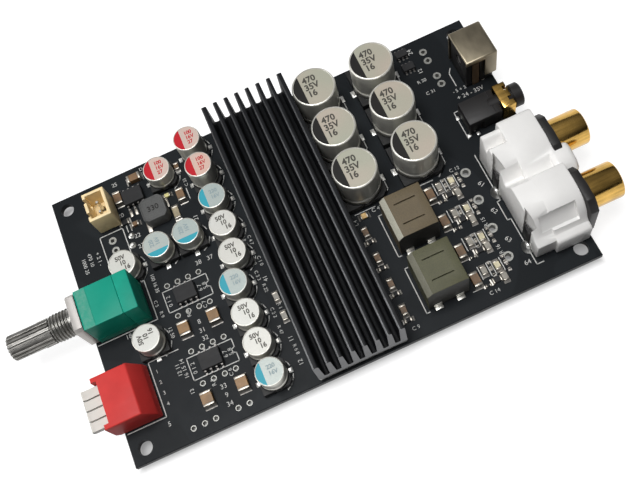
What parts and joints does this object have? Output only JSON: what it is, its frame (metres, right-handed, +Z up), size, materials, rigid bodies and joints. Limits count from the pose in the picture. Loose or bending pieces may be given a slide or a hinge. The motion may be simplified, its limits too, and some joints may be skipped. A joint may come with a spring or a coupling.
{
  "type": "audio amplifier board",
  "caption": "Black circuit board with a finned heatsink, can capacitors, inductors, a splined volume control, a rocking lever switch, and power, audio and phono sockets along one edge.",
  "frame": {"origin": "centre of the board's underside", "axes": "+X along the board's long side towards the phono sockets, +Z up out of the component side"},
  "size_m": [0.1298, 0.0666, 0.0152],
  "materials": {
    "black_mask": "black solder mask over glass fibre laminate, satin",
    "black_anodised": "black anodised extrusion, satin, pale cut ends",
    "tinned": "tinned",
    "black_epoxy": "black moulded epoxy",
    "thermal_grey": "soft grey pad",
    "base_plastic": "black moulded plastic",
    "aluminium": "bright drawn aluminium, printed black segment",
    "red_capacitor": "bright aluminium, printed red segment",
    "blue_capacitor": "bright aluminium, printed turquoise segment",
    "white_capacitor": "bright aluminium, pale printed top",
    "ferrite": "pressed iron powder, matt olive grey",
    "nickel": "nickel plated",
    "green_plastic": "green moulded plastic",
    "red_plastic": "red moulded plastic",
    "lever_white": "off white moulded plastic",
    "ivory_plastic": "ivory moulded plastic",
    "nickel_dull": "tarnished nickel plated sheet",
    "black_plastic": "black moulded plastic",
    "gold": "gold plated brass",
    "housing_white": "white moulded plastic"
  },
  "bodies": {
    "board": {"circuit_board": "black_mask", "heatsink": "black_anodised", "heatsink_pin_1": "tinned", "heatsink_pin_2": "tinned", "header_pin_1": "tinned", "header_pin_2": "tinned", "amplifier_chip": "black_epoxy", "preamplifier_chip_1": "black_epoxy", "preamplifier_chip_2": "black_epoxy", "converter_chip": "black_epoxy", "thermal_pad": "thermal_grey", "large_capacitor_base_1": "base_plastic", "large_capacitor_base_2": "base_plastic", "large_capacitor_base_3": "base_plastic", "large_capacitor_base_4": "base_plastic", "large_capacitor_base_5": "base_plastic", "large_capacitor_base_6": "base_plastic", "large_capacitor_can_1": "aluminium", "large_capacitor_can_2": "aluminium", "large_capacitor_can_3": "aluminium", "large_capacitor_can_4": "aluminium", "large_capacitor_can_5": "aluminium", "large_capacitor_can_6": "aluminium", "red_capacitor_1": "red_capacitor", "red_capacitor_2": "red_capacitor", "red_capacitor_3": "red_capacitor", "blue_capacitor_1": "blue_capacitor", "blue_capacitor_2": "blue_capacitor", "blue_capacitor_3": "blue_capacitor", "blue_capacitor_4": "blue_capacitor", "blue_capacitor_5": "blue_capacitor", "white_capacitor_1": "white_capacitor", "white_capacitor_2": "white_capacitor", "white_capacitor_3": "white_capacitor", "white_capacitor_4": "white_capacitor", "white_capacitor_5": "white_capacitor", "white_capacitor_6": "white_capacitor", "output_inductor_1": "ferrite", "output_inductor_2": "ferrite", "converter_choke": "ferrite", "control_bush_plate": "nickel", "power_socket_pin": "nickel", "control_front_section": "green_plastic", "control_rear_section": "green_plastic", "switch_body": "red_plastic", "header_shroud": "ivory_plastic", "power_socket_cover": "nickel_dull", "power_socket_body": "black_plastic", "audio_socket_body": "black_plastic", "phono_flange_1": "black_plastic", "phono_flange_2": "black_plastic", "audio_socket_collar": "gold", "phono_barrel_1": "gold", "phono_barrel_2": "gold", "phono_housing": "housing_white"},
    "control_shaft": {"control_shaft": "nickel"},
    "lever_1": {"switch_lever_1": "lever_white"},
    "lever_2": {"switch_lever_2": "lever_white"},
    "lever_3": {"switch_lever_3": "lever_white"},
    "lever_4": {"switch_lever_4": "lever_white"}
  },
  "joints": [
    {"name": "control_turn", "type": "hinge", "parent": "board", "child": "control_shaft", "pos_m": [-0.0534, 0.0001, 0.0081], "axis": [1, 0, 0], "range_deg": [-150, 150]},
    {"name": "lever_1_rock", "type": "hinge", "parent": "board", "child": "lever_1", "pos_m": [-0.0512, -0.02322, 0.0059], "axis": [0, 1, 0], "range_deg": [-14, 0]},
    {"name": "lever_2_rock", "type": "hinge", "parent": "board", "child": "lever_2", "pos_m": [-0.0512, -0.02088, 0.0059], "axis": [0, 1, 0], "range_deg": [-14, 0]},
    {"name": "lever_3_rock", "type": "hinge", "parent": "board", "child": "lever_3", "pos_m": [-0.0512, -0.01852, 0.0059], "axis": [0, 1, 0], "range_deg": [-14, 0]},
    {"name": "lever_4_rock", "type": "hinge", "parent": "board", "child": "lever_4", "pos_m": [-0.0512, -0.01617, 0.0059], "axis": [0, 1, 0], "range_deg": [-14, 0]}
  ]
}
